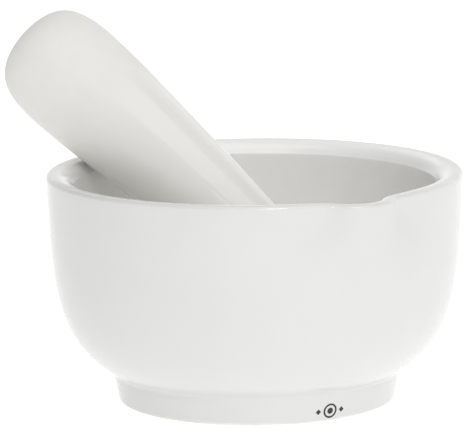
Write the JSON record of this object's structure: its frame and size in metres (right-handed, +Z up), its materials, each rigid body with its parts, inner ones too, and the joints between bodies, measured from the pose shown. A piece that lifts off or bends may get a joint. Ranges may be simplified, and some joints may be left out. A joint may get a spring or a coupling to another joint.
{
  "type": "mortar and pestle",
  "caption": "Round thick-walled porcelain mortar with a rolled rim, pouring lip and short foot, with a solid tapered pestle leaning in it, wide grinding end up.",
  "frame": {"origin": "centre of the mortar's flat resting face", "axes": "+Z up along the mortar's axis; the pouring lip points between -Y and +X, 30 degrees from -Y; the pestle leans out over the rim towards -X, 26.6 degrees round towards +Y"},
  "size_m": [0.1552, 0.14, 0.1279],
  "materials": {
    "mortar_glaze": "clear gloss glaze outside and over the rim, matte grinding surface inside",
    "pestle_porcelain": "unglazed matte grinding head, glossy glazed shaft",
    "mark_enamel": "fired-on black transfer"
  },
  "bodies": {
    "mortar_body": {"mortar": "mortar_glaze", "foot_mark": "mark_enamel"},
    "pestle_body": {"pestle": "pestle_porcelain"}
  },
  "joints": [
    {"name": "pestle_slide", "type": "slide", "parent": "mortar_body", "child": "pestle_body", "axis": [-0.716, 0.3585, 0.599], "range_m": [0, 0.13]}
  ]
}
